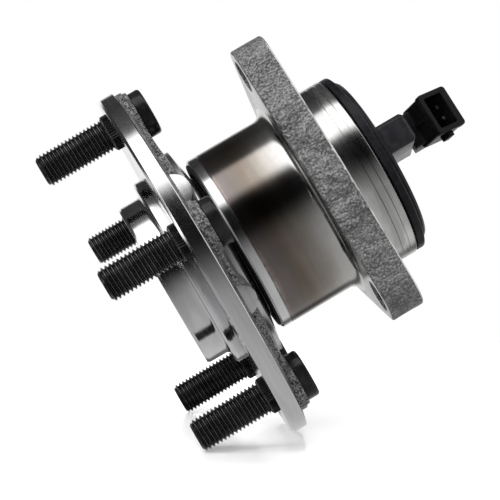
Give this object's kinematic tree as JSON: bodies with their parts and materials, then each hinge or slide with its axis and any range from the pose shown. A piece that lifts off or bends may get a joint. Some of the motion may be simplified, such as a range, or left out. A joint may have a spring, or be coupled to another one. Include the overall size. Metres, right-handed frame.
{
  "type": "wheel hub bearing",
  "caption": "Flanged wheel hub turning in a double-row ball bearing with a lobed mounting plate, press-in wheel studs, a closed rear cap and a wheel speed sensor with a plug socket.",
  "frame": {"origin": "on the spin axis, at the face of the flange that the brake rotor and the wheel are clamped to", "axes": "+Z along the spin axis from the wheel side to the vehicle side; +X towards the side of the mounting plate between two ears that the connector leans to, and towards one wheel stud at rest; +Y completes the right-handed frame"},
  "size_m": [0.138, 0.138, 0.1378],
  "materials": {
    "hub_steel": "polished turned faces, rough forged back",
    "stud_black": "black oxide",
    "stainless_steel": "pressed, satin",
    "bearing_steel": "ground",
    "magnet_rubber": "matte",
    "ring_steel": "turned body, rough forged plate edge",
    "ball_steel": "polished",
    "cage_plastic": "moulded, natural",
    "seal_steel": "pressed",
    "seal_rubber": "matte",
    "cap_plastic": "moulded, satin black",
    "holder_plastic": "moulded, satin dark grey",
    "chip_resin": "moulded resin",
    "terminal_brass": "tinned",
    "connector_plastic": "moulded, fine matte black"
  },
  "bodies": {
    "outer": {"outer_ring": "ring_steel", "front_seal_case": "seal_steel", "front_seal_lip": "seal_rubber", "rear_cap": "cap_plastic", "cap_sleeve": "stainless_steel", "cap_oring": "seal_rubber", "sensor_holder": "holder_plastic", "sensor_chip": "chip_resin", "terminal_1": "terminal_brass", "terminal_2": "terminal_brass", "connector_shell": "connector_plastic"},
    "hub": {"hub_flange": "hub_steel", "wheel_stud_1": "stud_black", "wheel_stud_2": "stud_black", "wheel_stud_3": "stud_black", "wheel_stud_4": "stud_black", "wheel_stud_5": "stud_black", "seal_slinger": "stainless_steel", "inner_ring": "bearing_steel", "encoder_carrier": "stainless_steel", "encoder_magnet": "magnet_rubber"},
    "front_ball_set": {"front_balls": "ball_steel", "front_cage": "cage_plastic"},
    "rear_ball_set": {"rear_balls": "ball_steel", "rear_cage": "cage_plastic"}
  },
  "joints": [
    {"name": "hub_spin", "type": "hinge", "parent": "outer", "child": "hub", "pos_m": [0, 0, 0.04275], "axis": [0, 0, 1], "continuous": true},
    {"name": "front_cage_spin", "type": "hinge", "parent": "outer", "child": "front_ball_set", "pos_m": [0, 0, 0.0285], "axis": [0, 0, 1], "continuous": true},
    {"name": "rear_cage_spin", "type": "hinge", "parent": "outer", "child": "rear_ball_set", "pos_m": [0, 0, 0.057], "axis": [0, 0, 1], "continuous": true}
  ],
  "couplings": [
    {"joint": "front_cage_spin", "follows": "hub_spin", "ratio": 0.4101},
    {"joint": "rear_cage_spin", "follows": "hub_spin", "ratio": 0.4101}
  ]
}
